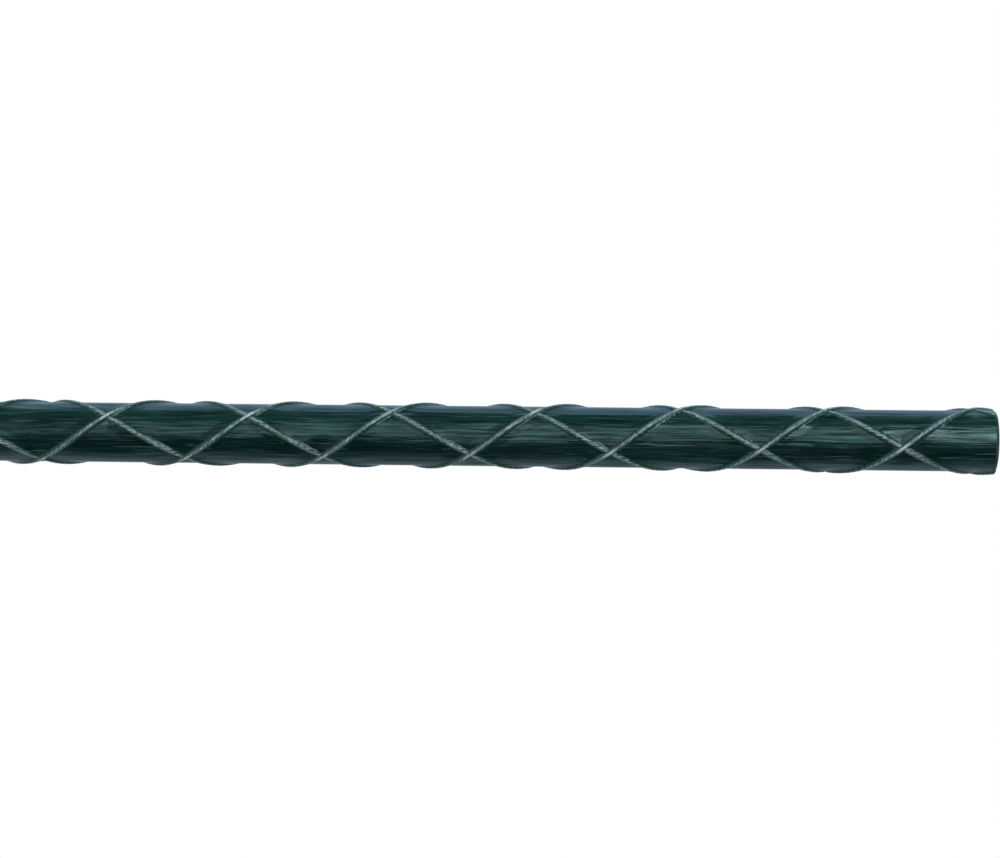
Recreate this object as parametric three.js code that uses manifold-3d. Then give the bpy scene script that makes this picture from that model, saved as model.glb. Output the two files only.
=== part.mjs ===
// A fibreglass plant stake: a solid rod of glass fibre and resin with a ground point, bound by four yarns.
// Two inner yarns lie on the rod as right-hand helices, and two outer yarns cross over them the other way.
// Millimetres, +Z up along the rod, origin at the middle of the blunt face of the point.
import * as THREE from "three";
import { mergeVertices } from "three/addons/utils/BufferGeometryUtils.js";
import Module from "manifold-3d";

// The rod
const STAKE_LENGTH = 500;
const ROD_DIAMETER = 11;
const POINT_LENGTH = 26;
const POINT_FACE = 3; // diameter of the blunt face that the point ends in
const END_BEVEL = 0.5; // edge of the sawn end, broken at 45 degrees
const ROD_SIDES = 48;

// The yarns: sizes of one yarn, flattened by its own tension
const YARN_WIDTH = 1.0;
const YARN_HEIGHT = 0.5;
const CREST_WIDTH = 0.5; // width of its flattened top
const CROSSED_HEIGHT = 0.28; // height of each of two yarns where they press on each other
const RESIN_FILM = 0.05; // left clear between a yarn and what it lies on

// The windings: travel in one turn, and where an even helix meets the sawn end, in degrees from +X
const INNER_PITCH = 55;
const OUTER_PITCH = 50.3;
const INNER_ANGLES = [212, 38];
const OUTER_ANGLES = [161, 346];

// The inner yarns are laid off centre, so they lead and lag along the rod as they go round it.
const SWAY_ONCE = 0.76; // lead at +X and lag at -X
const SWAY_TWICE = 0.41; // lag and lead in each half turn

// How finely the yarns are stepped, in degrees round the rod
const YARN_STEP = 18;
const LEAST_STEP = 1.5;
const CROSSING_MARGIN = 1; // kept pressed flat beyond the overlap, on each side
const CROSSING_RAMP = 16; // from pressed flat back to full height
const CROSSING_PASSES = 12; // steps that bring a crossing to its place

const TURN = 360;
const rodRadius = ROD_DIAMETER / 2;

// A yarn runs straight from ring to ring, so its rings stand off enough for the chords to clear the rod.
const longestStep = THREE.MathUtils.degToRad(YARN_STEP + LEAST_STEP);
const seatRadius = rodRadius / Math.cos(longestStep / 2) + RESIN_FILM;
const highestCrest = seatRadius + Math.max(YARN_HEIGHT, 2 * CROSSED_HEIGHT + RESIN_FILM);
const trimRadius = highestCrest + YARN_HEIGHT;

// Length along the rod that a width across a yarn takes up
function alongRod(width, pitch) {
  const turnLength = Math.hypot(Math.PI * ROD_DIAMETER, pitch);
  return (width * turnLength) / (Math.PI * ROD_DIAMETER);
}

function makeYarn(hand, pitch, endAngle, sways) {
  return {
    hand,
    pitch,
    endAngle,
    sways,
    footLength: alongRod(YARN_WIDTH, pitch),
    crestLength: alongRod(CREST_WIDTH, pitch),
    crossings: [],
  };
}

function swayAt(yarn, angle) {
  const turned = THREE.MathUtils.degToRad(angle);
  const [once, twice] = yarn.sways;
  return once * Math.cos(turned) - twice * Math.sin(2 * turned);
}

function heightAt(yarn, angle) {
  const even = (yarn.hand * (angle - yarn.endAngle) * yarn.pitch) / TURN;
  return STAKE_LENGTH + even + swayAt(yarn, angle);
}

// Angle at which the even helix of a yarn, without its sway, comes to a height
function angleAt(yarn, height) {
  return yarn.endAngle + (yarn.hand * (height - STAKE_LENGTH) * TURN) / yarn.pitch;
}

// Both ends run past the rod, so that the trim cuts them clean.
function reachOf(yarn) {
  const past = 2 * yarn.footLength + SWAY_ONCE + SWAY_TWICE;
  const ends = [angleAt(yarn, -past), angleAt(yarn, STAKE_LENGTH + past)];
  return ends.sort((a, b) => a - b);
}

// Length along the rod by which an inner and an outer yarn near each other in one degree, without the sway
function closingRate(inner, outer) {
  return (inner.pitch + outer.pitch) / TURN;
}

// Running angle of the inner yarn where it crosses an outer yarn that is some full turns ahead
function crossingAngle(inner, outer, turns) {
  let angle = inner.endAngle;
  for (let pass = 0; pass < CROSSING_PASSES; pass += 1) {
    const apart = heightAt(inner, angle) - heightAt(outer, angle + turns * TURN);
    angle -= apart / closingRate(inner, outer);
  }
  return angle;
}

// Angles at which an inner and an outer yarn cross, each kept in the yarn's own running angle
function addCrossings(inner, outer) {
  const offset = (inner.endAngle - outer.endAngle) / TURN;
  const most = STAKE_LENGTH * (1 / inner.pitch + 1 / outer.pitch);
  for (let turns = Math.floor(-offset) - 1; turns <= Math.ceil(most - offset) + 1; turns += 1) {
    const angle = crossingAngle(inner, outer, turns);
    inner.crossings.push(angle);
    outer.crossings.push(angle + turns * TURN);
  }
}

// Half the angle over which an inner and an outer yarn lie on each other, where they close up most slowly
function halfOverlap(inner, outer) {
  const swayRate = THREE.MathUtils.degToRad(SWAY_ONCE + 2 * SWAY_TWICE);
  return (inner.footLength + outer.footLength) / (2 * (closingRate(inner, outer) - swayRate));
}

// 1 where a yarn is pressed by a crossing, 0 where it has its full height
function pressAt(yarn, angle, pressedHalf) {
  const away = yarn.crossings.map((crossing) => Math.abs(angle - crossing));
  const past = Math.min(...away) - pressedHalf;
  return THREE.MathUtils.clamp(1 - past / CROSSING_RAMP, 0, 1);
}

// Even steps round the rod, plus one ring at each edge of every pressed stretch
function ringAngles(yarn, pressedHalf) {
  const [from, to] = reachOf(yarn);
  const edges = yarn.crossings.flatMap((crossing) => [crossing - pressedHalf, crossing + pressedHalf]);
  const angles = edges.filter((angle) => angle > from && angle < to);
  for (let step = Math.floor(from / YARN_STEP); step <= Math.ceil(to / YARN_STEP); step += 1) {
    const angle = step * YARN_STEP;
    const nearest = Math.min(...edges.map((edge) => Math.abs(edge - angle)));
    if (nearest > LEAST_STEP) {
      angles.push(angle);
    }
  }
  return angles.sort((a, b) => a - b);
}

// Section of a yarn in the plane through the rod's axis: a wide foot and a narrower crest
function ringAt(yarn, angle, foot, crest) {
  const middle = heightAt(yarn, angle);
  const halfFoot = yarn.footLength / 2;
  const halfCrest = yarn.crestLength / 2;
  const section = [
    [foot, middle - halfFoot],
    [foot, middle + halfFoot],
    [crest, middle + halfCrest],
    [crest, middle - halfCrest],
  ];
  const turned = THREE.MathUtils.degToRad(angle);
  return section.map(([r, z]) => new THREE.Vector3(r * Math.cos(turned), r * Math.sin(turned), z));
}

function innerRing(yarn, angle, pressedHalf) {
  const press = pressAt(yarn, angle, pressedHalf);
  const crest = seatRadius + THREE.MathUtils.lerp(YARN_HEIGHT, CROSSED_HEIGHT, press);
  return ringAt(yarn, angle, seatRadius, crest);
}

function outerRing(yarn, angle, pressedHalf) {
  const press = pressAt(yarn, angle, pressedHalf);
  const foot = seatRadius + THREE.MathUtils.lerp(0, CROSSED_HEIGHT + RESIN_FILM, press);
  const crest = foot + THREE.MathUtils.lerp(YARN_HEIGHT, CROSSED_HEIGHT, press);
  return ringAt(yarn, angle, foot, crest);
}

// One closed skin over a row of rings, with a flat cap on each end
function skinOf(rings) {
  const sides = rings[0].length;
  const faces = [];
  for (let ring = 0; ring + 1 < rings.length; ring += 1) {
    for (let side = 0; side < sides; side += 1) {
      const a = ring * sides + side;
      const b = ring * sides + ((side + 1) % sides);
      faces.push(a, b, b + sides, a, b + sides, a + sides);
    }
  }
  const lastRing = (rings.length - 1) * sides;
  for (let side = 1; side + 1 < sides; side += 1) {
    faces.push(0, side + 1, side);
    faces.push(lastRing, lastRing + side, lastRing + side + 1);
  }
  const skin = new THREE.BufferGeometry();
  skin.setFromPoints(rings.flat());
  skin.setIndex(faces);
  return skin;
}

// Least distance between points of one yarn that are at least half a turn apart
function leastGap(rings, angles) {
  let least = Infinity;
  for (let i = 0; i < rings.length; i += 1) {
    for (let j = i + 1; j < rings.length; j += 1) {
      if (angles[j] - angles[i] >= TURN / 2) {
        for (const p of rings[i]) {
          for (const q of rings[j]) {
            least = Math.min(least, p.distanceTo(q));
          }
        }
      }
    }
  }
  return least;
}

// A profile of (radius, height) pairs turned about the rod's axis
function turnedAboutRod(profile) {
  const points = profile.map(([r, z]) => new THREE.Vector2(r, z));
  const turned = new THREE.LatheGeometry(points, ROD_SIDES);
  turned.rotateX(Math.PI / 2);
  return turned;
}

const wasm = await Module();
wasm.setup();

function solidOf(geometry) {
  const bare = geometry.clone();
  bare.deleteAttribute("normal");
  bare.deleteAttribute("uv");
  const welded = mergeVertices(bare);
  const mesh = new wasm.Mesh({
    numProp: 3,
    vertProperties: new Float32Array(welded.attributes.position.array),
    triVerts: new Uint32Array(welded.index.array),
  });
  return new wasm.Manifold(mesh);
}

function geometryOf(solid) {
  const mesh = solid.getMesh();
  const geometry = new THREE.BufferGeometry();
  geometry.setAttribute("position", new THREE.BufferAttribute(mesh.vertProperties, 3));
  geometry.setIndex(new THREE.BufferAttribute(mesh.triVerts, 1));
  geometry.computeVertexNormals();
  return geometry;
}

// The rod, from the blunt face of the point to the sawn end
const faceRadius = POINT_FACE / 2;
const rodGeometry = turnedAboutRod([
  [0, 0],
  [faceRadius, 0],
  [rodRadius, POINT_LENGTH],
  [rodRadius, STAKE_LENGTH - END_BEVEL],
  [rodRadius - END_BEVEL, STAKE_LENGTH],
  [0, STAKE_LENGTH],
]);

// The point is ground and the end is sawn and bevelled with the yarns on, so the same faces trim them.
const pointSlope = POINT_LENGTH / (rodRadius - faceRadius);
const trim = solidOf(
  turnedAboutRod([
    [0, 0],
    [faceRadius, 0],
    [trimRadius, (trimRadius - faceRadius) * pointSlope],
    [trimRadius, STAKE_LENGTH - END_BEVEL - (trimRadius - rodRadius)],
    [rodRadius - END_BEVEL, STAKE_LENGTH],
    [0, STAKE_LENGTH],
  ]),
);

const innerSways = [SWAY_ONCE, SWAY_TWICE];
const innerYarns = INNER_ANGLES.map((angle) => makeYarn(1, INNER_PITCH, angle, innerSways));
const outerYarns = OUTER_ANGLES.map((angle) => makeYarn(-1, OUTER_PITCH, angle, [0, 0]));
for (const inner of innerYarns) {
  for (const outer of outerYarns) {
    addCrossings(inner, outer);
  }
}
const pressedHalf = halfOverlap(innerYarns[0], outerYarns[0]) + CROSSING_MARGIN;

const stake = new THREE.Group();
stake.name = "plant_stake";

function addPiece(parent, name, geometry, look) {
  const mesh = new THREE.Mesh(geometry, new THREE.MeshStandardMaterial(look));
  mesh.name = name;
  parent.add(mesh);
}

function addYarn(parent, name, yarn, ringMaker, look) {
  const angles = ringAngles(yarn, pressedHalf);
  const rings = angles.map((angle) => ringMaker(yarn, angle, pressedHalf));
  const trimmed = solidOf(skinOf(rings)).intersect(trim);
  addPiece(parent, name, geometryOf(trimmed), look);
  console.log(`${name}: least gap to itself ${leastGap(rings, angles).toFixed(1)} mm`);
}

const rodLook = { color: 0x16322f, roughness: 0.3, metalness: 0 };
const yarnLook = { color: 0x93a79f, roughness: 0.7, metalness: 0 };
addPiece(stake, "rod", rodGeometry, rodLook);

const innerWinding = new THREE.Group();
innerWinding.name = "inner_winding";
innerYarns.forEach((yarn, index) => {
  addYarn(innerWinding, `inner_yarn_${index + 1}`, yarn, innerRing, yarnLook);
});
stake.add(innerWinding);

const outerWinding = new THREE.Group();
outerWinding.name = "outer_winding";
outerYarns.forEach((yarn, index) => {
  addYarn(outerWinding, `outer_yarn_${index + 1}`, yarn, outerRing, yarnLook);
});
stake.add(outerWinding);

export default stake;
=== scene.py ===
# %% [markdown]
# # A fibreglass plant stake
# The stake is a solid rod of glass fibre and dark green resin, with a ground point and a sawn end.
# Four pale yarns bind it: two run round it one way, and two cross over them the other way.
# The packed solids are the fixed frame of this lesson. Each visible piece is made again here with the
# detail that a solid lacks: fibre ridges, twisted plies, and the resin that covers the yarns.

# %% Load the solids
import math

import bmesh
import bpy
import numpy as np
from mathutils import Matrix, Vector, noise


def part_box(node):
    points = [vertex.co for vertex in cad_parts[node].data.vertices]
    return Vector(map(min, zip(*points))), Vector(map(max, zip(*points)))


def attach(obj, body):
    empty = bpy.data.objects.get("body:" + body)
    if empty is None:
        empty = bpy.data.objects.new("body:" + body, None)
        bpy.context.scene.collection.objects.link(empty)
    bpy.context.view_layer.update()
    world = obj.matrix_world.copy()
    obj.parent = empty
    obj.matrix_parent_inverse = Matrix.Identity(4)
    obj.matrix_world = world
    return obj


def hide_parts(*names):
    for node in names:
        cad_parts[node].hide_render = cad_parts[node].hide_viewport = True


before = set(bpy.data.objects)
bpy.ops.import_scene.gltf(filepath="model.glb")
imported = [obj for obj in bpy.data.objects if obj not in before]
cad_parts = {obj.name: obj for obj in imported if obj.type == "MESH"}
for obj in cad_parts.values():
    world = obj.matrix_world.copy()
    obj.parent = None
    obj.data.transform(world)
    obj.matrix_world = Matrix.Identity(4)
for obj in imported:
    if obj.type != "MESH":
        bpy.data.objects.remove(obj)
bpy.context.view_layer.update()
scene = bpy.context.scene
scene.view_settings.view_transform = "Standard"
print("solids:", sorted(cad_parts))

# %% [markdown]
# ## Sizes
# Everything is in metres, and a millimetre is the handy unit for a rod that is 11 mm thick.
# Length and radius are read from the solid, so the pieces made here can't drift away from it.

# %% Sizes of the rod
MM = 0.001
rod_low, rod_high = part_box("rod")
STAKE_LENGTH = rod_high.z
ROD_RADIUS = rod_high.x
POINT_LENGTH = 26 * MM
POINT_RADIUS = 1.5 * MM
print(f"rod: {STAKE_LENGTH / MM:.1f} mm long, {2 * ROD_RADIUS / MM:.2f} mm thick")

# %% [markdown]
# ## The rod
# The real rod is drawn through a round die as a bundle of fibres in wet resin. It could be a plain
# cylinder with a bump texture, but its highlights break up along real ridges, where fibres lie close under
# the skin. So half of its outline, from the middle of the point to the middle of the sawn end, is cut into
# short lines and spun round the axis, which gives the skin enough points to be raised later.

# %% Spin the outline
ROD_SIDES = 256
RING_STEP = 2.4 * MM
POINT_RINGS = 12
WELD = 0.005 * MM


def outline_of_rod(shape):
    """Draws half of the rod's outline and cuts its two long lines into short ones."""
    corners = [
        (0, 0),
        (POINT_RADIUS, 0),
        (ROD_RADIUS, POINT_LENGTH),
        (ROD_RADIUS, STAKE_LENGTH),
        (0, STAKE_LENGTH),
    ]
    dots = [shape.verts.new((radius, 0, height)) for radius, height in corners]
    _, cone, skin, _ = [shape.edges.new(pair) for pair in zip(dots, dots[1:])]
    skin_rings = round((STAKE_LENGTH - POINT_LENGTH) / RING_STEP)
    bmesh.ops.subdivide_edges(shape, edges=[cone], cuts=POINT_RINGS)
    bmesh.ops.subdivide_edges(shape, edges=[skin], cuts=skin_rings)


rod_shape = bmesh.new()
outline_of_rod(rod_shape)
bmesh.ops.spin(
    rod_shape,
    geom=rod_shape.verts[:] + rod_shape.edges[:],
    cent=(0, 0, 0),
    axis=(0, 0, 1),
    angle=2 * math.pi,
    steps=ROD_SIDES,
    use_merge=True,
)
bmesh.ops.remove_doubles(rod_shape, verts=rod_shape.verts[:], dist=WELD)
bmesh.ops.recalc_face_normals(rod_shape, faces=rod_shape.faces[:])
print("rod faces after the spin:", len(rod_shape.faces))

# %% [markdown]
# The saw leaves a sharp edge that is broken with a file, and the grinder leaves the tip's corner slightly
# soft. Rounded corners could be drawn into the outline, but a bevel on the two rings of edges does it in one
# step each, and its width is easy to change.

# %% Round the edges
END_ROUNDING = 0.6 * MM
END_STEPS = 5
TIP_ROUNDING = 0.25 * MM
TIP_STEPS = 3
HAIRBREADTH = 0.01 * MM


def ring_edges(shape, radius, height):
    """Finds the edges that run round the axis at one radius and height."""

    def on_ring(dot):
        off_radius = abs(math.hypot(dot.co.x, dot.co.y) - radius)
        return off_radius < HAIRBREADTH and abs(dot.co.z - height) < HAIRBREADTH

    return [edge for edge in shape.edges if all(on_ring(dot) for dot in edge.verts)]


def round_ring(shape, radius, height, rounding, steps):
    bmesh.ops.bevel(
        shape,
        geom=ring_edges(shape, radius, height),
        offset=rounding,
        offset_type="OFFSET",
        affect="EDGES",
        segments=steps,
        profile=0.5,
        material=-1,
    )


round_ring(rod_shape, ROD_RADIUS, STAKE_LENGTH, END_ROUNDING, END_STEPS)
round_ring(rod_shape, POINT_RADIUS, 0, TIP_ROUNDING, TIP_STEPS)
print("rod faces after rounding:", len(rod_shape.faces))

# %% [markdown]
# Bundles of fibre close under the skin raise it by about a hundredth of a millimetre, in ridges that are
# much longer than wide. Noise that is stretched along the rod gives such ridges, a broad and a fine set.
# The ground point and the rim of the sawn end stay smooth, because tools have taken the ridges off there.

# %% Raise the fibre ridges
RIDGE_HEIGHT = 0.016 * MM
RIDGE_WIDTH = 0.75 * MM
RIDGE_LENGTH = 30 * MM
FINER_ACROSS = 2.3
FINER_ALONG = 1.7
FINE_SHARE = 0.5
FINE_SHIFT = 40
ridges_from = POINT_LENGTH + 1 * MM
ridges_to = STAKE_LENGTH - END_ROUNDING - 0.2 * MM


def ridge_at(place):
    """Height of the fibre ridges at one place on the skin."""
    x, y, z = place.x / RIDGE_WIDTH, place.y / RIDGE_WIDTH, place.z / RIDGE_LENGTH
    broad = noise.noise(Vector((x, y, z)))
    fine = noise.noise(Vector((FINER_ACROSS * x, FINER_ACROSS * y, FINER_ALONG * z + FINE_SHIFT)))
    return RIDGE_HEIGHT * (broad + FINE_SHARE * fine)


raised = [dot for dot in rod_shape.verts if ridges_from < dot.co.z < ridges_to]
for dot in raised:
    outward = Vector((dot.co.x, dot.co.y, 0)).normalized()
    dot.co += outward * ridge_at(dot.co)
print("points raised:", len(raised))

# %% [markdown]
# Four kinds of surface meet on the rod: the moulded skin, the ground point, the sawn face and its filed rim.
# They could be separate objects, but the rod is one piece, so each face gets the number of its finish.

# %% Sort the rod's faces by surface
SKIN, GROUND, SAWN, FILED = 0, 1, 2, 3


def surface_at(height):
    if height < POINT_LENGTH:
        return GROUND
    if height > STAKE_LENGTH - HAIRBREADTH:
        return SAWN
    if height > STAKE_LENGTH - END_ROUNDING + HAIRBREADTH:
        return FILED
    return SKIN


for face in rod_shape.faces:
    face.material_index = surface_at(face.calc_center_median().z)
    face.smooth = face.material_index != SAWN


def piece_from(shape, name):
    """Makes a finished shape an object that moves with the stake."""
    mesh = bpy.data.meshes.new(name)
    shape.to_mesh(mesh)
    shape.free()
    piece = bpy.data.objects.new(name, mesh)
    scene.collection.objects.link(piece)
    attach(piece, "root")
    return piece


stake_rod = piece_from(rod_shape, "stake_rod")
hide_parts("rod")
print("rod faces:", len(stake_rod.data.polygons))

# %% [markdown]
# ## The paths of the yarns
# A yarn on a rod is a straight line on the rod's unrolled skin. So each yarn is first made straight, with
# x across it, y away from the rod and z along it, and is then wound on: a length along it becomes an angle
# and a height. The travel in one turn, the angle at the sawn end, and the sway by which the inner yarns lead
# and lag as they go round are the solids' own.

# %% Where the yarns run
INNER_TRAVEL = 55.0 * MM
OUTER_TRAVEL = 50.3 * MM
SWAY_ONCE = 0.76 * MM
SWAY_TWICE = 0.41 * MM
RIGHT_HAND, LEFT_HAND = 1, -1
FULL_TURN = 2 * math.pi


def inner_path(end):
    return {"hand": RIGHT_HAND, "travel": INNER_TRAVEL, "end": math.radians(end), "sways": True}


def outer_path(end):
    return {"hand": LEFT_HAND, "travel": OUTER_TRAVEL, "end": math.radians(end), "sways": False}


yarns = {
    "inner_yarn_1": inner_path(212),
    "inner_yarn_2": inner_path(38),
    "outer_yarn_1": outer_path(161),
    "outer_yarn_2": outer_path(346),
}


def sway_at(yarn, angle):
    """How far a yarn leads along the rod at an angle."""
    return yarn["sways"] * (SWAY_ONCE * np.cos(angle) - SWAY_TWICE * np.sin(2 * angle))


def height_at(yarn, angle):
    even = yarn["hand"] * (angle - yarn["end"]) * yarn["travel"] / FULL_TURN
    return STAKE_LENGTH + even + sway_at(yarn, angle)


print("turns:", {name: round(STAKE_LENGTH / yarn["travel"], 1) for name, yarn in yarns.items()})

# %% [markdown]
# Where two yarns cross decides how each of them lies. Two straight lines on the unrolled skin would meet at
# heights that one formula gives. The sway bends the inner ones a little, so each meeting is found in a few
# steps that close the gap between the two heights.

# %% Where the yarns cross
SPARE_TURNS = 2
CLOSING_STEPS = 12
BEYOND_ENDS = 10 * MM


def meeting_height(yarn, other, turns):
    """Height at which a yarn meets another one, counted so many turns on."""
    closing = yarn["hand"] * (yarn["travel"] + other["travel"]) / FULL_TURN
    angle = yarn["end"]
    for _ in range(CLOSING_STEPS):
        gap = height_at(yarn, angle) - height_at(other, angle + turns * FULL_TURN)
        angle -= gap / closing
    return height_at(yarn, angle)


def crossing_heights(yarn):
    """Heights on the rod at which a yarn crosses the two that run the other way."""
    heights = []
    for other in yarns.values():
        if other["hand"] != yarn["hand"]:
            most = math.ceil(STAKE_LENGTH * (1 / yarn["travel"] + 1 / other["travel"])) + SPARE_TURNS
            heights += [meeting_height(yarn, other, turns) for turns in range(-most, most + 1)]
    near = [height for height in heights if -BEYOND_ENDS < height < STAKE_LENGTH + BEYOND_ENDS]
    return np.array(sorted(near))


for name, yarn in yarns.items():
    yarn["crossings"] = crossing_heights(yarn)
    on_rod = [height for height in yarn["crossings"] if POINT_LENGTH < height < STAKE_LENGTH]
    print(name, "has", len(on_rod), "crossings, the last at", round(on_rod[-1] / MM, 1), "mm")

# %% [markdown]
# ## Winding a straight piece on
# At a crossing the inner yarn is pressed flat and the outer one climbs over it. How much a place is pressed
# is a smooth bump in its distance to the nearest crossing. A curve with a bevel could follow the path too,
# but it couldn't change its section on the way, so the points of a straight piece are moved instead.
# At the point everything is ground off with the rod, so nothing may stand out of the cone.

# %% Wind a straight piece on the rod
PRESS_REACH = 1.4 * MM
POINT_FLARE = (ROD_RADIUS - POINT_RADIUS) / POINT_LENGTH
ROUND_THE_ROD = FULL_TURN * ROD_RADIUS


def one_turn(yarn):
    """Length of yarn that goes once round the rod."""
    return math.hypot(ROUND_THE_ROD, yarn["travel"])


def angles_along(along, yarn):
    return yarn["end"] + yarn["hand"] * FULL_TURN * along / one_turn(yarn)


def press_along(along, yarn):
    """1 at a crossing, falling smoothly to 0 beside it."""
    heights = height_at(yarn, angles_along(along, yarn))
    away = np.min(np.abs(heights[:, None] - yarn["crossings"][None, :]), axis=1)
    return np.exp(-((away / PRESS_REACH) ** 2))


def wind_on(straight, yarn, section_at):
    """Bends points of a straight piece round the rod; section_at shapes its section at each place."""
    across, up, along = straight.T
    across, rise = section_at(across, up, along, press_along(along, yarn))
    middle_angles = angles_along(along, yarn)
    angles = middle_angles - yarn["travel"] * across / one_turn(yarn) / ROD_RADIUS
    climbed = (yarn["travel"] * along + yarn["hand"] * ROUND_THE_ROD * across) / one_turn(yarn)
    heights = STAKE_LENGTH + climbed + sway_at(yarn, middle_angles)
    radii = np.minimum(ROD_RADIUS + rise, POINT_RADIUS + POINT_FLARE * heights)
    return np.column_stack([radii * np.cos(angles), radii * np.sin(angles), heights])


def straight_length(yarn, lowest, spare):
    """Length of a yarn from its lowest height to a spare end beyond the sawn end."""
    return (STAKE_LENGTH - lowest) * one_turn(yarn) / yarn["travel"] + spare


print("length of one turn:", {name: round(one_turn(yarn) / MM, 1) for name, yarn in yarns.items()})

# %% [markdown]
# A piece of half a metre has thousands of short stretches. Spinning them one by one is slow, so one stretch
# is made, copied end to end, and the copy is copied again, which doubles it each time.
# At the sawn end one flat cut goes through rod and yarns alike, and the file rounds them together. A few
# level cuts just below the end give the wound pieces points there, so that the rounding comes out smooth.

# %% Lengthen a piece and saw it off
END_LEVELS = 8
CUT_REACH = 5 * MM
ON_CUT = 0.01 * HAIRBREADTH


def lengthen(shape, length, doublings):
    """Copies a short stretch end to end, doubling it each time, and welds the joints."""
    for _ in range(doublings):
        copy = bmesh.ops.duplicate(shape, geom=shape.verts[:] + shape.edges[:] + shape.faces[:])
        dots = [part for part in copy["geom"] if isinstance(part, bmesh.types.BMVert)]
        bmesh.ops.translate(shape, verts=dots, vec=(0, 0, -length))
        length *= 2
    bmesh.ops.remove_doubles(shape, verts=shape.verts[:], dist=WELD)


def cut_level(shape, height, above=False, below=False):
    """Cuts a wound piece at one height, and takes away what is above or below it if asked to."""
    faces = [face for face in shape.faces if abs(face.verts[0].co.z - height) < CUT_REACH]
    edges = {edge for face in faces for edge in face.edges}
    dots = {dot for face in faces for dot in face.verts}
    bmesh.ops.bisect_plane(
        shape,
        geom=list(dots) + list(edges) + faces,
        dist=ON_CUT,
        plane_co=(0, 0, height),
        plane_no=(0, 0, 1),
        clear_outer=above,
        clear_inner=below,
    )


def round_with_rod(dot):
    """Moves a point near the sawn end inwards, as the file rounds rod and yarns together."""
    into_edge = 1 - (STAKE_LENGTH - dot.co.z) / END_ROUNDING
    if into_edge > 0:
        radius = math.hypot(dot.co.x, dot.co.y)
        roundness = math.sqrt(1 - into_edge**2)
        proud = radius - ROD_RADIUS
        kept = proud * roundness if proud > 0 else proud
        rounded = ROD_RADIUS + kept - END_ROUNDING * (1 - roundness)
        dot.co.x *= rounded / radius
        dot.co.y *= rounded / radius


def saw_off(shape, depth):
    """Smooths a wound piece, cuts it at both ends, rounds the sawn one and closes the cuts."""
    for face in shape.faces:
        face.smooth = True
    cut_level(shape, STAKE_LENGTH - depth, above=True)
    cut_level(shape, POINT_LENGTH + HAIRBREADTH, below=True)
    for level in np.linspace(depth, END_ROUNDING, END_LEVELS + 1)[1:]:
        cut_level(shape, STAKE_LENGTH - level)
    for dot in shape.verts:
        round_with_rod(dot)
    rims = [edge for edge in shape.edges if edge.is_boundary]
    for edge in rims:
        edge.smooth = False
    for face in bmesh.ops.holes_fill(shape, edges=rims, sides=0)["faces"]:
        face.smooth = False
    bmesh.ops.recalc_face_normals(shape, faces=shape.faces[:])


print("level cuts at the sawn end:", END_LEVELS)

# %% [markdown]
# ## A straight yarn
# The yarn is two plies twisted together. It could be a smooth tube with a striped bump, but close to, and
# where the resin is thin, the plies show. A single lay is two small rings, spun once round the yarn's middle
# while they travel along it. Doubling that short stretch eight times gives the whole length at a low cost.

# %% Twist two plies
PLY_RADIUS = 0.14 * MM
PLY_OFFSET = 0.10 * MM
PLY_SIDES = 10
LAY_STEPS = 12
DOUBLINGS = 8
SPARE_END = 1.2 * MM
yarn_low = POINT_LENGTH + 0.3 * MM


def lay_of(yarn):
    """Length in which the two plies turn once round each other."""
    return straight_length(yarn, yarn_low, SPARE_END) / 2**DOUBLINGS


def twist_plies(lay):
    """One lay of yarn, doubled to its full length; it runs down from z = SPARE_END."""
    shape = bmesh.new()
    for side in (1, -1):
        start = Matrix.Translation((side * PLY_OFFSET, 0, SPARE_END))
        circle = bmesh.ops.create_circle(shape, segments=PLY_SIDES, radius=PLY_RADIUS, matrix=start)
        ring = circle["verts"]
        rim = list({edge for dot in ring for edge in dot.link_edges})
        bmesh.ops.spin(
            shape,
            geom=ring + rim,
            cent=(0, 0, 0),
            axis=(0, 0, 1),
            dvec=(0, 0, -lay / LAY_STEPS),
            angle=FULL_TURN,
            steps=LAY_STEPS,
        )
    lengthen(shape, lay, DOUBLINGS)
    return shape


print("lays:", {name: round(lay_of(yarn) / MM, 2) for name, yarn in yarns.items()}, "mm")

# %% [markdown]
# Winding tension rolls the yarn flat: the plies settle side by side, so their orbit flattens more than they
# do. Between crossings a yarn lies a little deep in the wet resin. At a crossing the inner one is pressed
# down, and the outer one is lifted by it.

# %% The section of a wound yarn
PLY_SQUEEZE = 0.90
ORBIT_SQUEEZE = 0.40
HALF_HEIGHT = PLY_SQUEEZE * PLY_RADIUS + ORBIT_SQUEEZE * PLY_OFFSET
FREE_FOOT = {RIGHT_HAND: 0.165 * MM, LEFT_HAND: 0.245 * MM}
PRESSED_FOOT = {RIGHT_HAND: 0.10 * MM, LEFT_HAND: 0.40 * MM}
PRESSED_FLATNESS = {RIGHT_HAND: 0.66, LEFT_HAND: 0.88}
PRESSED_WIDENING = 0.12


def yarn_section(yarn):
    """Height and width of a yarn, free and pressed."""
    hand = yarn["hand"]

    def section_at(across, up, along, press):
        foot = FREE_FOOT[hand] + (PRESSED_FOOT[hand] - FREE_FOOT[hand]) * press
        flatness = 1 + (PRESSED_FLATNESS[hand] - 1) * press
        return across * (1 + PRESSED_WIDENING * press), foot + (up + HALF_HEIGHT) * flatness

    return section_at


print("yarn height:", round(2 * HALF_HEIGHT / MM, 2), "mm")

# %% [markdown]
# Before a yarn is wound on, each point keeps two values for its finish. Its place in the untwisted ply is
# one, because the filaments follow the ply and the colour has to follow the filaments. Its crown is the
# other: 0 at the rod and 1 on top, raised at crossings to paint a glint there. A material could only guess
# these from the finished shape.

# %% Wind the four yarns
YARN_SAWN_BACK = 0.10 * MM
CROSSING_GLINT = 0.15


def coordinates(mesh):
    flat = np.empty(3 * len(mesh.vertices))
    mesh.vertices.foreach_get("co", flat)
    return flat.reshape(-1, 3)


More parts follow.
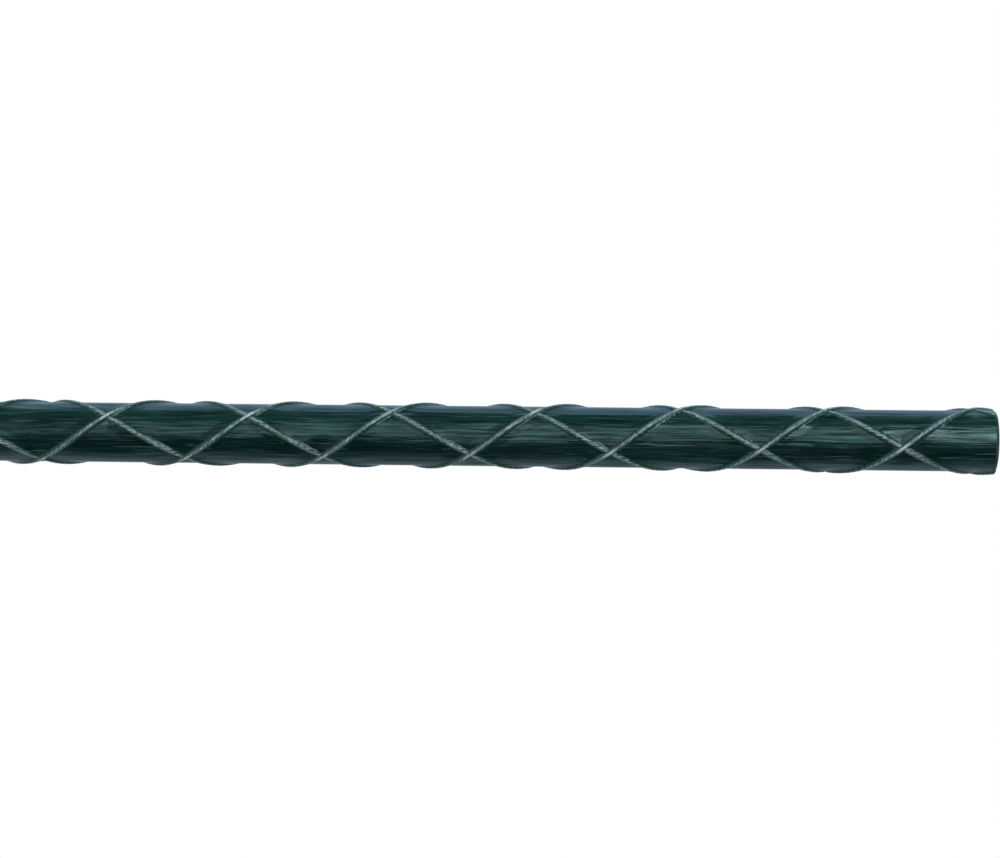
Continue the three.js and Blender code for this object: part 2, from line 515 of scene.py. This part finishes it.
def keep_on_points(mesh, name, kind, values):
    """Stores one value for each point of a mesh, for its material to read."""
    key = "vector" if kind == "FLOAT_VECTOR" else "value"
    kept = mesh.attributes.new(name, kind, "POINT")
    kept.data.foreach_set(key, np.ravel(values).astype(np.float32))


def straight_mesh_of(shape):
    mesh = bpy.data.meshes.new("straight_piece")
    shape.to_mesh(mesh)
    shape.free()
    return mesh


def wound_shape(mesh, straight, yarn, section_at, sawn_back):
    """Winds a straight mesh on and saws it off; the straight mesh is used up."""
    mesh.vertices.foreach_set("co", wind_on(straight, yarn, section_at).ravel())
    shape = bmesh.new()
    shape.from_mesh(mesh)
    bpy.data.meshes.remove(mesh)
    saw_off(shape, sawn_back)
    return shape


def wind_yarn(node, yarn):
    lay = lay_of(yarn)
    mesh = straight_mesh_of(twist_plies(lay))
    straight = coordinates(mesh)
    x, y, z = straight.T
    twist = FULL_TURN * (SPARE_END - z) / lay
    ply_x = x * np.cos(twist) + y * np.sin(twist)
    ply_y = y * np.cos(twist) - x * np.sin(twist)
    orbit_up = np.sign(ply_x) * PLY_OFFSET * np.sin(twist)
    height_share = (y - 0.5 * orbit_up) / (PLY_RADIUS + 0.5 * PLY_OFFSET)
    # Raising the crown at crossings makes the yarn paler there, as a painted glint.
    crown = 0.5 + 0.5 * height_share + CROSSING_GLINT * press_along(z, yarn)
    keep_on_points(mesh, "in_ply", "FLOAT_VECTOR", np.column_stack([ply_x, ply_y, z]))
    keep_on_points(mesh, "crown", "FLOAT", crown)
    straight[:, 1] = ORBIT_SQUEEZE * orbit_up + PLY_SQUEEZE * (y - orbit_up)
    shape = wound_shape(mesh, straight, yarn, yarn_section(yarn), YARN_SAWN_BACK)
    piece = piece_from(shape, "twisted_" + node)
    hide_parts(node)
    print(piece.name, "has", len(piece.data.polygons), "faces")
    return piece


wound_yarns = [wind_yarn(node, yarn) for node, yarn in yarns.items()]

# %% [markdown]
# ## Resin over the yarns
# The rod is wet when it is wound, so resin covers the yarns. A wide, low swell of it lies along each yarn,
# and the yarn makes a slim round back on the swell. Bump alone couldn't show that on the outline of the rod,
# so the cover is a closed tube: its upper half follows the swell and the back, and its lower half hides
# inside the rod. A slow ripple along the tube makes the cover thicker and thinner.

# %% The section of the resin
COAT_HALF_WIDTH = 2.30 * MM
ROUND_BACK = 0.54 * MM
BACK_ROUNDING = 0.75
SWELL_SHARE = 0.26
FREE_RISE = {RIGHT_HAND: 0.48 * MM, LEFT_HAND: 0.56 * MM}
PRESSED_RISE = {RIGHT_HAND: 0.36 * MM, LEFT_HAND: 0.68 * MM}
COAT_DEPTH = 0.12 * MM
RIPPLE = 0.025 * MM
LONG_RIPPLE = 1.15 * MM
SHORT_RIPPLE = 0.67 * MM
CROWDING = 2.2
SIDE_OF_TUBE = -0.01


def bell(beside):
    """Share of the full height beside the middle of a yarn: a round back on a low swell."""
    back = np.clip(1 - (beside / ROUND_BACK) ** 2, 0, 1) ** BACK_ROUNDING
    swell = np.clip(1 - (beside / COAT_HALF_WIDTH) ** 2, 0, 1) ** 2
    return (1 - SWELL_SHARE) * back + SWELL_SHARE * swell


def beside_middle(x):
    """Spreads the sides of a round tube over the cover's width, most of them close to the yarn."""
    return COAT_HALF_WIDTH * np.sign(x) * np.abs(x) ** CROWDING


def coat_section(yarn):
    """Height and width of the cover, free and where the yarn is pressed."""
    hand = yarn["hand"]

    def section_at(across, up, along, press):
        beside = beside_middle(across)
        waves = np.sin(along / LONG_RIPPLE) + np.sin(along / SHORT_RIPPLE + 1)
        rise = FREE_RISE[hand] + (PRESSED_RISE[hand] - FREE_RISE[hand]) * press + 0.5 * RIPPLE * waves
        return beside, np.where(up > SIDE_OF_TUBE, rise * bell(beside) - HAIRBREADTH, -COAT_DEPTH)

    return section_at


print("height of the swell alone:", [round(SWELL_SHARE * rise / MM, 2) for rise in FREE_RISE.values()], "mm")

# %% [markdown]
# The tube starts as one ring that is extruded by one step and then doubled. It reaches past both ends, so
# that the slanting cuts go through its whole width. Its points keep three values for the finish: how far
# they climb the yarn, where they are in the twist of the plies, and how hard the yarn is pressed.

# %% Cover the yarns with resin
COAT_SIDES = 84
COAT_DOUBLINGS = 10
COAT_SPARE_END = 3 * MM
COAT_SAWN_BACK = 0.12 * MM
BEAD_SLANT = 13 / MM
coat_low = POINT_LENGTH - 2 * MM


def straight_tube(step):
    """A tube of radius 1 that runs down from z = COAT_SPARE_END."""
    shape = bmesh.new()
    start = Matrix.Translation((0, 0, COAT_SPARE_END))
    ring = bmesh.ops.create_circle(shape, segments=COAT_SIDES, radius=1, matrix=start)["verts"]
    rim = list({edge for dot in ring for edge in dot.link_edges})
    grown = bmesh.ops.extrude_edge_only(shape, edges=rim)["geom"]
    new_ring = [part for part in grown if isinstance(part, bmesh.types.BMVert)]
    bmesh.ops.translate(shape, verts=new_ring, vec=(0, 0, -step))
    lengthen(shape, step, COAT_DOUBLINGS)
    return shape


def lay_coat(node, yarn):
    step = straight_length(yarn, coat_low, COAT_SPARE_END) / 2**COAT_DOUBLINGS
    mesh = straight_mesh_of(straight_tube(step))
    straight = coordinates(mesh)
    beside = beside_middle(straight[:, 0])
    along = straight[:, 2]
    crowns = 2 * FULL_TURN * (SPARE_END - along) / lay_of(yarn) + BEAD_SLANT * beside
    keep_on_points(mesh, "climb", "FLOAT", bell(beside))
    keep_on_points(mesh, "crowns", "FLOAT", crowns)
    keep_on_points(mesh, "press", "FLOAT", press_along(along, yarn))
    shape = wound_shape(mesh, straight, yarn, coat_section(yarn), COAT_SAWN_BACK)
    piece = piece_from(shape, "resin_on_" + node)
    print(piece.name, "has", len(piece.data.polygons), "faces")
    return piece


resin_coats = [lay_coat(node, yarn) for node, yarn in yarns.items()]

# %% [markdown]
# ## Building finishes
# A finish is a tree of nodes: patterns, ramps that turn a value into a colour, and the shader that they feed.
# Image textures would be quicker to set up, but they need a file and lose detail close to. Noise never does.
# A small kit keeps the tools for patterns at hand. Each tool adds a node and gives back its output.


# %% Tools for patterns
class Patterns:
    """Tools that add places, kept values and noise to one tree of nodes."""

    def __init__(self, tree):
        self.nodes = tree.nodes
        self.links = tree.links

    def feed(self, socket, value):
        """Links an output to a socket, or sets the socket to a number or a colour."""
        if isinstance(value, bpy.types.NodeSocket):
            self.links.new(value, socket)
        elif socket.type == "RGBA" and isinstance(value, tuple):
            socket.default_value = (*value, 1)
        else:
            socket.default_value = value

    def place(self, coordinates="Object"):
        return self.nodes.new("ShaderNodeTexCoord").outputs[coordinates]

    def kept(self, name, output="Fac"):
        """A value that the points of the mesh keep."""
        node = self.nodes.new("ShaderNodeAttribute")
        node.attribute_name = name
        return node.outputs[output]

    def squeeze(self, source, scale, offset=(0, 0, 0)):
        """A place that is scaled separately along each axis."""
        node = self.nodes.new("ShaderNodeMapping")
        node.inputs["Scale"].default_value = scale
        node.inputs["Location"].default_value = offset
        self.feed(node.inputs["Vector"], source)
        return node.outputs["Vector"]

    def grain(self, source, scale, detail, roughness=0.55, offset=(0, 0, 0), output="Fac"):
        """Noise that is stretched or squeezed along each axis."""
        node = self.nodes.new("ShaderNodeTexNoise")
        node.inputs["Scale"].default_value = 1
        node.inputs["Detail"].default_value = detail
        node.inputs["Roughness"].default_value = roughness
        self.feed(node.inputs["Vector"], self.squeeze(source, scale, offset))
        return node.outputs[output]


print("pattern tools:", [tool for tool in vars(Patterns) if not tool.startswith("_")])

# %% [markdown]
# Patterns are plain values between 0 and 1. The next tools make colours, gloss and height of them, and mix
# these. They are added to the same kit, which is then a whole bench for one finish.


# %% Tools for colour and height
class Bench(Patterns):
    """All the tools for the nodes of one finish."""

    def ramp(self, source, stops):
        """Turns a value into a colour between given stops."""
        node = self.nodes.new("ShaderNodeValToRGB")
        elements = node.color_ramp.elements
        while len(elements) < len(stops):
            elements.new(0.5)
        for element, (position, colour) in zip(elements, stops):
            element.position = position
            element.color = (*colour, 1)
        self.feed(node.inputs["Fac"], source)
        return node.outputs["Color"]

    def spread(self, source, low, high, to_low, to_high):
        """Maps one range of values to another."""
        node = self.nodes.new("ShaderNodeMapRange")
        limits = {"From Min": low, "From Max": high, "To Min": to_low, "To Max": to_high}
        for socket, value in limits.items():
            node.inputs[socket].default_value = value
        self.feed(node.inputs["Value"], source)
        return node.outputs["Result"]

    def sums(self, operation, *values):
        node = self.nodes.new("ShaderNodeMath")
        node.operation = operation
        for socket, value in zip(node.inputs, values):
            self.feed(socket, value)
        return node.outputs["Value"]

    def place_sums(self, operation, **values):
        """Sums on a place or a colour; each value is named first, second, third or scale."""
        node = self.nodes.new("ShaderNodeVectorMath")
        node.operation = operation
        sockets = dict(zip(("first", "second", "third", "scale"), node.inputs))
        for key, value in values.items():
            self.feed(sockets[key], value)
        return node

    def blend_colours(self, amount, first, second, mode="MIX"):
        node = self.nodes.new("ShaderNodeMix")
        node.data_type = "RGBA"
        node.blend_type = mode
        for socket, value in zip((node.inputs[0], node.inputs[6], node.inputs[7]), (amount, first, second)):
            self.feed(socket, value)
        return node.outputs[2]

    def blend_values(self, amount, first, second):
        node = self.nodes.new("ShaderNodeMix")
        for socket, value in zip((node.inputs[0], node.inputs[2], node.inputs[3]), (amount, first, second)):
            self.feed(socket, value)
        return node.outputs[0]

    def raise_skin(self, height, shader, distance, strength=1.0):
        """Feeds a height to the shader as bump."""
        node = self.nodes.new("ShaderNodeBump")
        node.inputs["Distance"].default_value = distance
        self.feed(node.inputs["Strength"], strength)
        self.feed(node.inputs["Height"], height)
        self.feed(shader.inputs["Normal"], node.outputs["Normal"])


def new_finish(name):
    """A material, the bench for its nodes, and its shader."""
    finish = bpy.data.materials.new(name)
    finish.use_nodes = True
    return finish, Bench(finish.node_tree), finish.node_tree.nodes["Principled BSDF"]


def grey(level):
    return (level, level, level)


print("mixing tools:", [tool for tool in vars(Bench) if not tool.startswith("_")])

# %% [markdown]
# ## The fibres in the rod
# The skin is resin, dyed dark green, over glass fibres. The fibres show as long streaks, paler where they lie
# close to the skin, so the noise behind the colour is squeezed across the rod and stretched along it. They
# also wander a little from side to side. Near the saw cut some have come loose and show as pale hairs.

# %% Colours of the fibres
FRAYED_LENGTH = 9 * MM
FRAYED_MORE = 0.06
WANDER = 0.9 * MM
DEEP = (0.0014, 0.0098, 0.0092)
MIDDLE = (0.0024, 0.0125, 0.0116)
PALE = (0.0120, 0.0330, 0.0318)
HAIR_COLOUR = (0.050, 0.092, 0.090)


def wandering(bench, place):
    """A place that slips sideways along the rod, as fibres do."""
    slip = bench.grain(place, (450, 450, 80), 1, offset=(8, 2, 5), output="Color")
    wavy = bench.place_sums("MULTIPLY_ADD", first=slip, second=(WANDER, WANDER, 0), third=place)
    return wavy.outputs["Vector"]


def fibre_colours(bench, place, wavy, broad, fine):
    colours = bench.ramp(fine, [(0.36, DEEP), (0.55, MIDDLE), (0.74, PALE)])
    shades = bench.ramp(broad, [(0.28, grey(0.6)), (0.5, grey(1.0)), (0.72, (2.0, 1.9, 1.9))])
    shaded = bench.blend_colours(1.0, colours, shades, "MULTIPLY")
    hairs = bench.grain(wavy, (4400, 4400, 60), 1, offset=(6, 4, 9))
    parts = bench.nodes.new("ShaderNodeSeparateXYZ")
    bench.feed(parts.inputs["Vector"], place)
    frayed_from = STAKE_LENGTH - FRAYED_LENGTH
    frayed = bench.spread(parts.outputs["Z"], frayed_from, STAKE_LENGTH, 0.0, FRAYED_MORE)
    near_skin = bench.spread(bench.sums("ADD", hairs, frayed), 0.66, 0.76, 0.0, 1.0)
    return bench.blend_colours(near_skin, shaded, HAIR_COLOUR)


print("frayed hairs in the last", round(FRAYED_LENGTH / MM), "mm")

# %% [markdown]
# ## The cover over a yarn
# On the low swell the resin is as clear as on the rod, so the fibres show there too. On the back they sink
# out of sight. Near the top the pale yarn comes through as a row of beads, one for each crown of a ply.
# The beads could be bumps in the mesh, but under smooth resin they are mostly a matter of colour. So the kept
# place in the twist goes through a cosine, slow noise shifts and weakens it, and lumps break it up. The
# whitest flecks on the beads are a painted glint. Where a yarn is pressed at a crossing, its beads run
# together in one knot, which on an outer yarn is painted bright as a glint.

# %% Beads and knots
DEEP_RESIN = [(0.3, (0.008, 0.026, 0.024)), (0.5, (0.017, 0.044, 0.042)), (0.7, (0.034, 0.074, 0.071))]
SHIFT_OF_BEADS = 4.0
BACK_FROM, BACK_FULL = 0.25, 0.44
# The whitest colour of the beads is a painted glint. The colour at crossings is a painted glint on the outer
# yarns, and a duller pressed tone on the inner ones.
inner_cover = {
    "thin": (0.77, 0.975),
    "dull": (0.040, 0.078, 0.068),
    "bright": (0.290, 0.384, 0.357),
    "fleck": (0.600, 0.700, 0.670),
    "knot": (0.150, 0.220, 0.203),
}
outer_cover = {
    "thin": (0.79, 0.98),
    "dull": (0.040, 0.080, 0.076),
    "bright": (0.235, 0.325, 0.320),
    "fleck": (0.600, 0.700, 0.690),
    "knot": (0.440, 0.550, 0.530),
}


def ply_beads(bench, place, lumps):
    """High on the crowns of the plies and low between them, broken up by lumps."""
    uneven = bench.grain(place, (420, 420, 420), 1, offset=(2, 9, 4))
    shift = bench.spread(uneven, 0.0, 1.0, -SHIFT_OF_BEADS, SHIFT_OF_BEADS)
    wave = bench.sums("COSINE", bench.sums("ADD", bench.kept("crowns"), shift))
    clearness = bench.grain(place, (330, 330, 330), 1, offset=(7, 1, 6))
    strength = bench.spread(clearness, 0.3, 0.7, -0.02, -0.26)
    return bench.sums("MULTIPLY_ADD", wave, strength, lumps)


def cover_colours(bench, cover, climb, lumps, beads):
    deep_resin = bench.ramp(lumps, DEEP_RESIN)
    # Painted glints: the whitest stop of the beads, and the bright colour where an outer yarn crosses.
    over_yarn = bench.ramp(beads, [(0.38, cover["dull"]), (0.66, cover["bright"]), (0.80, cover["fleck"])])
    knot_and_glint_mask = bench.spread(bench.kept("press"), 0.35, 0.9, 0.0, 0.85)
    knotted = bench.blend_colours(knot_and_glint_mask, over_yarn, cover["knot"])
    thin = bench.spread(climb, *cover["thin"], 0.0, 1.0)
    return bench.blend_colours(thin, deep_resin, knotted)


def sink_under_cover(bench, place, cover, slant, look):
    """Changes the look of the fibre skin to that of the cover where it climbs a yarn."""
    climb = bench.kept("climb")
    sunk = bench.spread(climb, BACK_FROM, BACK_FULL, 0.0, 1.0)
    lumps = bench.grain(place, (1500, 1500, 1500), 4, roughness=0.68)
    beads = ply_beads(bench, place, lumps)
    colour = cover_colours(bench, cover, climb, lumps, beads)
    height = bench.spread(beads, 0.0, 1.0, 1.45, 2.75)
    clear = bench.spread(slant, 0.35, 0.65, 1.0, 0.1)
    return {
        "colour": bench.blend_colours(sunk, look["colour"], colour),
        "height": bench.blend_values(sunk, look["height"], height),
        "gloss": bench.blend_values(sunk, look["gloss"], 0.16),
        "mirror": bench.blend_values(sunk, look["mirror"], 0.5),
        "clear": bench.blend_values(sunk, look["clear"], clear),
    }


print("the back starts between", BACK_FROM, "and", BACK_FULL, "of the cover's height")

# %% [markdown]
# ## The finish of rod and covers
# Rod and covers are one resin, so one finish serves both, and the covers change it where they climb a yarn.
# The streaks of fibre raise and roughen the skin a little, and glass near the skin mirrors more than resin
# does, which breaks the highlight into threads. The bump fades where the skin turns away from the eye, as the
# threads run together there in one smooth sheen.

# %% Fibre skin
BUMP_DEPTH = 0.075 * MM
ROD_TINT = (0.55, 1.0, 1.0)
COVER_TINT = (0.62, 0.98, 1.0)
RESIN_IOR = 1.5


def fibre_skin(name, cover=None):
    """Dark green resin over fibres that wander; a cover hides them where it climbs a yarn."""
    finish, bench, shader = new_finish(name)
    place = bench.place()
    wavy = wandering(bench, place)
    broad = bench.grain(wavy, (750, 750, 22), 2)
    fine = bench.grain(wavy, (2600, 2600, 120), 3, offset=(3, 7, 1))
    glass = bench.grain(wavy, (2000, 2000, 90), 2, offset=(1, 5, 3))
    slant = bench.nodes.new("ShaderNodeLayerWeight").outputs["Facing"]
    look = {
        "colour": fibre_colours(bench, place, wavy, broad, fine),
        "height": bench.sums("MULTIPLY_ADD", broad, 3.2, fine),
        "gloss": bench.spread(fine, 0.3, 0.7, 0.12, 0.26),
        "mirror": bench.spread(glass, 0.32, 0.68, 0.14, 0.86),
        "clear": bench.spread(slant, 0.20, 0.36, 1.0, 0.10),
    }
    if cover:
        look = sink_under_cover(bench, place, cover, slant, look)
    bench.feed(shader.inputs["Base Color"], look["colour"])
    bench.feed(shader.inputs["Roughness"], look["gloss"])
    bench.feed(shader.inputs["Specular IOR Level"], look["mirror"])
    bench.raise_skin(look["height"], shader, BUMP_DEPTH, look["clear"])
    bench.feed(shader.inputs["Specular Tint"], COVER_TINT if cover else ROD_TINT)
    bench.feed(shader.inputs["IOR"], RESIN_IOR)
    return finish


skin_finish = fibre_skin("fibre_skin")
coat_finishes = {
    RIGHT_HAND: fibre_skin("inner_cover", inner_cover),
    LEFT_HAND: fibre_skin("outer_cover", outer_cover),
}
for coat, yarn in zip(resin_coats, yarns.values()):
    coat.data.materials.append(coat_finishes[yarn["hand"]])
print("rod finish:", skin_finish.name, "and covers:", [finish.name for finish in coat_finishes.values()])

# %% [markdown]
# ## Cut fibre
# Grinding, sawing and filing cut through the bundle, so pale ends of fibre show in duller resin. On the sawn
# face they are round dots, and on the slanting point they are drawn out along the rod. A pattern of cells
# gives both: the middle of each cell is a fibre, and stretching the cells stretches the ends. Each tool
# leaves its own scratches: across the sawn face, and round the point and the rim.


# %% Ground, sawn and filed finish
def cut_fibre(name, cells, scratch, fibre, resin):
    """Pale fibre ends in darker resin, scratched by the tool."""
    finish, bench, shader = new_finish(name)
    place = bench.place()
    specks = bench.nodes.new("ShaderNodeTexVoronoi")
    specks.inputs["Scale"].default_value = 1
    bench.feed(specks.inputs["Vector"], bench.squeeze(place, cells))
    bundle_size = tuple(0.2 * scale for scale in cells)
    bundles = bench.grain(place, bundle_size, 2, offset=(4, 3, 7))
    scratches = bench.grain(place, scratch, 4, offset=(2, 5, 0))
    ends = bench.ramp(specks.outputs["Distance"], [(0.15, fibre), (0.5, resin)])
    patches = bench.ramp(bundles, [(0.35, grey(0.6)), (0.65, grey(1.3))])
    lines = bench.ramp(scratches, [(0.3, grey(0.65)), (0.7, grey(1.35))])
    mottled = bench.blend_colours(1.0, ends, patches, "MULTIPLY")
    bench.feed(shader.inputs["Base Color"], bench.blend_colours(1.0, mottled, lines, "MULTIPLY"))
    bench.feed(shader.inputs["Roughness"], bench.spread(scratches, 0.3, 0.7, 0.45, 0.75))
    bench.raise_skin(scratches, shader, 0.04 * MM)
    return finish


pale_fibre, dull_resin = (0.15, 0.22, 0.20), (0.035, 0.075, 0.068)
dark_fibre, dark_resin = (0.045, 0.085, 0.080), (0.006, 0.022, 0.020)
point_finish = cut_fibre("ground_point", (5200, 5200, 420), (250, 250, 3600), pale_fibre, dull_resin)
sawn_finish = cut_fibre("sawn_end", (5200, 5200, 5200), (5200, 400, 400), pale_fibre, dull_resin)
edge_finish = cut_fibre("filed_edge", (5200, 5200, 1500), (400, 400, 5200), dark_fibre, dark_resin)
for finish in (skin_finish, point_finish, sawn_finish, edge_finish):
    stake_rod.data.materials.append(finish)
print("rod slots:", [slot.name for slot in stake_rod.material_slots])

# %% [markdown]
# ## The finish of the yarns
# The yarns are pale, and the resin that wets them fills the grooves between the plies and darkens their
# flanks. They lie under the cover, and show where it is thinner than they are. A weave texture would slide
# over the twist, so the kept place in the ply makes fine threads that follow it, and the kept crown says
# where the yarn is soaked and, at crossings, where a glint is painted. Slow patches are painted brighter
# as glints, more on the outer yarns.

# %% Wetted yarn
DRY_YARN = [(0.3, (0.070, 0.138, 0.129)), (0.5, (0.132, 0.228, 0.216)), (0.7, (0.25, 0.37, 0.355))]
SOAKED_YARN = (0.016, 0.046, 0.043)


def wetted_yarn(name, brightness, glints):
    """Pale filaments in resin, with painted glints; glints sets how much brighter the glinting patches are.
    """
    finish, bench, shader = new_finish(name)
    in_ply = bench.kept("in_ply", "Vector")
    threads = bench.grain(in_ply, (6000, 6000, 900), 3)
    patches = bench.grain(in_ply, (300, 300, 420), 2, offset=(4, 1, 2))
    # The patches are painted brighter as glints, between these two levels.
    dimmest = brightness * (1 - 0.45 * glints)
    brightest = brightness * (1 + 0.75 * glints)
    shine = bench.spread(patches, 0.35, 0.70, dimmest, brightest)
    dry_yarn_with_glints = bench.place_sums("SCALE", first=bench.ramp(threads, DRY_YARN), scale=shine).outputs["Vector"]
    wet = bench.sums("MULTIPLY_ADD", patches, 0.3, bench.kept("crown"))
    dryness = bench.spread(wet, 0.92, 1.20, 0.0, 1.0)
    bench.feed(shader.inputs["Base Color"], bench.blend_colours(dryness, SOAKED_YARN, dry_yarn_with_glints))
    bench.feed(shader.inputs["Roughness"], bench.spread(threads, 0.3, 0.7, 0.20, 0.40))
    bench.raise_skin(threads, shader, 0.015 * MM)
    return finish


inner_finish = wetted_yarn("inner_yarn_resin", 1.1, 0.3)
outer_finish = wetted_yarn("outer_yarn_resin", 1.40, 0.85)
for piece, yarn in zip(wound_yarns, yarns.values()):
    piece.data.materials.append(inner_finish if yarn["sways"] else outer_finish)
print("yarn finishes:", inner_finish.name, outer_finish.name)

# %% [markdown]
# ## The floor
# The stake stands on its point on a pale round floor, which only has to take its shadow. A square sheet would
# show its edge, so the floor grows clear towards its rim.

# %% Floor
FLOOR_RADIUS = 0.9
SOLID_TO = 0.25
CLEAR_FROM = 0.98 * FLOOR_RADIUS
floor_shape = bmesh.new()
bmesh.ops.create_circle(floor_shape, cap_ends=True, segments=96, radius=FLOOR_RADIUS)
floor_mesh = bpy.data.meshes.new("floor")
floor_shape.to_mesh(floor_mesh)
floor_shape.free()
floor = bpy.data.objects.new("floor", floor_mesh)
scene.collection.objects.link(floor)

floor_finish, bench, shader = new_finish("pale_floor")
shader.inputs["Roughness"].default_value = 0.9
shader.inputs["Base Color"].default_value = (0.9, 0.9, 0.9, 1)
distance = bench.place_sums("LENGTH", first=bench.place()).outputs["Value"]
bench.feed(shader.inputs["Alpha"], bench.spread(distance, SOLID_TO, CLEAR_FROM, 1.0, 0.0))
floor_mesh.materials.append(floor_finish)
print("floor radius:", FLOOR_RADIUS, "m")

# %% [markdown]
# ## The room
# A glossy rod shows its surroundings more than its own colour. In the photograph it mirrors a room that is
# bright behind the stake and dim in front of it, which draws the pale rims and the dark bands. A picture of
# a room could be wrapped round the scene, but two ramps from front to back are enough: one for the side that
# is up in the photograph, and one for the side that is down. Light that isn't mirrored comes softly from all
# round, more of it from above, and the camera sees plain white.

# %% World
AMBIENT_ABOVE, AMBIENT_BELOW = 0.66, 0.26
WHITE = (1.0, 1.0, 1.0)
ROOM_ABOVE = [
    (0.00, (0.12, 0.30, 0.28)),
    (0.39, (0.16, 0.36, 0.36)),
    (0.43, (0.95, 1.30, 1.75)),
    (0.64, (0.62, 0.92, 1.20)),
    (0.93, (0.50, 0.72, 0.95)),
]
ROOM_BELOW = [
    (0.00, (0.02, 0.04, 0.04)),
    (0.18, (0.12, 0.20, 0.21)),
    (0.38, (0.36, 0.46, 0.50)),
    (0.60, (0.52, 0.68, 0.74)),
    (0.86, (0.30, 0.36, 0.40)),
]
world = bpy.data.worlds.new("white_room")
scene.world = world
world.use_nodes = True
bench = Bench(world.node_tree)
sky = bench.nodes["Background"]
rays = bench.nodes.new("ShaderNodeLightPath").outputs
direction = bench.nodes.new("ShaderNodeSeparateXYZ")
bench.feed(direction.inputs["Vector"], bench.place("Generated"))
towards_back = bench.spread(direction.outputs["Y"], -0.4, 1.0, 0.0, 1.0)
lower_side = bench.spread(direction.outputs["X"], -0.7, 0.7, 0.0, 1.0)
above, below = bench.ramp(towards_back, ROOM_ABOVE), bench.ramp(towards_back, ROOM_BELOW)
mirrored = bench.blend_colours(lower_side, above, below)
ambient = bench.spread(direction.outputs["X"], -1.0, 1.0, AMBIENT_ABOVE, AMBIENT_BELOW)
lit = bench.blend_colours(rays["Is Glossy Ray"], ambient, mirrored)
seen = bench.sums("MAXIMUM", rays["Is Camera Ray"], rays["Is Transmission Ray"])
bench.feed(sky.inputs["Color"], bench.blend_colours(seen, lit, WHITE))
sky.inputs["Strength"].default_value = 1.0
print("ambient level:", AMBIENT_BELOW, "to", AMBIENT_ABOVE)

# %% [markdown]
# ## The lamps
# Two soft lamps stand a little to the side of the camera and draw the streaky band along the middle of the
# rod. One lamp could do it, but the band grows brighter towards the sawn end, so the upper lamp is brighter.
# The power follows from the brightness that is wanted, so a lamp can change size and still look as bright.

# %% Lamps
LAMP_DISTANCE = 1.1


def soft_lamp(name, turn, low, high, width, level):
    """A flat lamp, turned aside from the camera, that reaches from one height to another at a brightness."""
    lamp_data = bpy.data.lights.new(name, "AREA")
    lamp_data.shape = "RECTANGLE"
    lamp_data.size = width
    lamp_data.size_y = high - low
    lamp_data.energy = level * math.pi * width * (high - low)
    lamp = bpy.data.objects.new(name, lamp_data)
    scene.collection.objects.link(lamp)
    away = Vector((-math.sin(math.radians(turn)), -math.cos(math.radians(turn)), 0))
    across = Vector((0, 0, 1)).cross(away)
    middle = away * LAMP_DISTANCE + Vector((0, 0, (low + high) / 2))
    facing = Matrix((across, (0, 0, 1), away)).transposed().to_4x4()
    lamp.matrix_world = Matrix.Translation(middle) @ facing
    lamp.visible_camera = False
    print(name, "power:", round(lamp_data.energy, 2), "W")


soft_lamp("long_lamp", turn=15, low=0.05, high=0.62, width=1.14, level=1.35)
soft_lamp("high_lamp", turn=23, low=0.62, high=1.45, width=0.66, level=4.8)

# %% [markdown]
# ## The camera
# The photograph looks at the upper end of a stake that lies across it, so the camera is turned on its side:
# up in the picture is minus X here. The stake could be laid down instead, but it has to stay where the solids
# are. The sawn end is a little nearer than the rest, and the rod runs down slightly to the right. A focal
# length of 85 mm gives the slight taper that the outline shows.

# %% Camera
FRAME_WIDTH, FRAME_HEIGHT = 1000, 858
FOCAL_LENGTH, SENSOR_WIDTH = 85.0, 36.0
END_NEARER = math.radians(4)
RUN_DOWN = math.atan(0.0100)
AXIS_ROW = 436.3
MIDDLE_OF_VIEW = 410.24 * MM
CAMERA_DISTANCE = 432.7 * MM

right = Vector((0, math.sin(END_NEARER), math.cos(END_NEARER)))
up = Vector((-1, 0, 0))
forward = Vector((0, math.cos(END_NEARER), -math.sin(END_NEARER)))
tilted_right = right * math.cos(RUN_DOWN) + up * math.sin(RUN_DOWN)
tilted_up = up * math.cos(RUN_DOWN) - right * math.sin(RUN_DOWN)
focal_pixels = FOCAL_LENGTH * FRAME_WIDTH / SENSOR_WIDTH
below_middle = (AXIS_ROW - FRAME_HEIGHT / 2) * CAMERA_DISTANCE / focal_pixels
camera_place = Vector((0, 0, MIDDLE_OF_VIEW)) + tilted_up * below_middle - forward * CAMERA_DISTANCE

camera_data = bpy.data.cameras.new("camera")
camera_data.lens = FOCAL_LENGTH
camera_data.sensor_width = SENSOR_WIDTH
camera_data.sensor_fit = "HORIZONTAL"
camera_data.clip_start = 0.01
camera = bpy.data.objects.new("camera", camera_data)
scene.collection.objects.link(camera)
looking = Matrix((tilted_right, tilted_up, -forward)).transposed().to_4x4()
camera.matrix_world = Matrix.Translation(camera_place) @ looking
scene.camera = camera
print("camera at", [round(value, 4) for value in camera_place])

# %% [markdown]
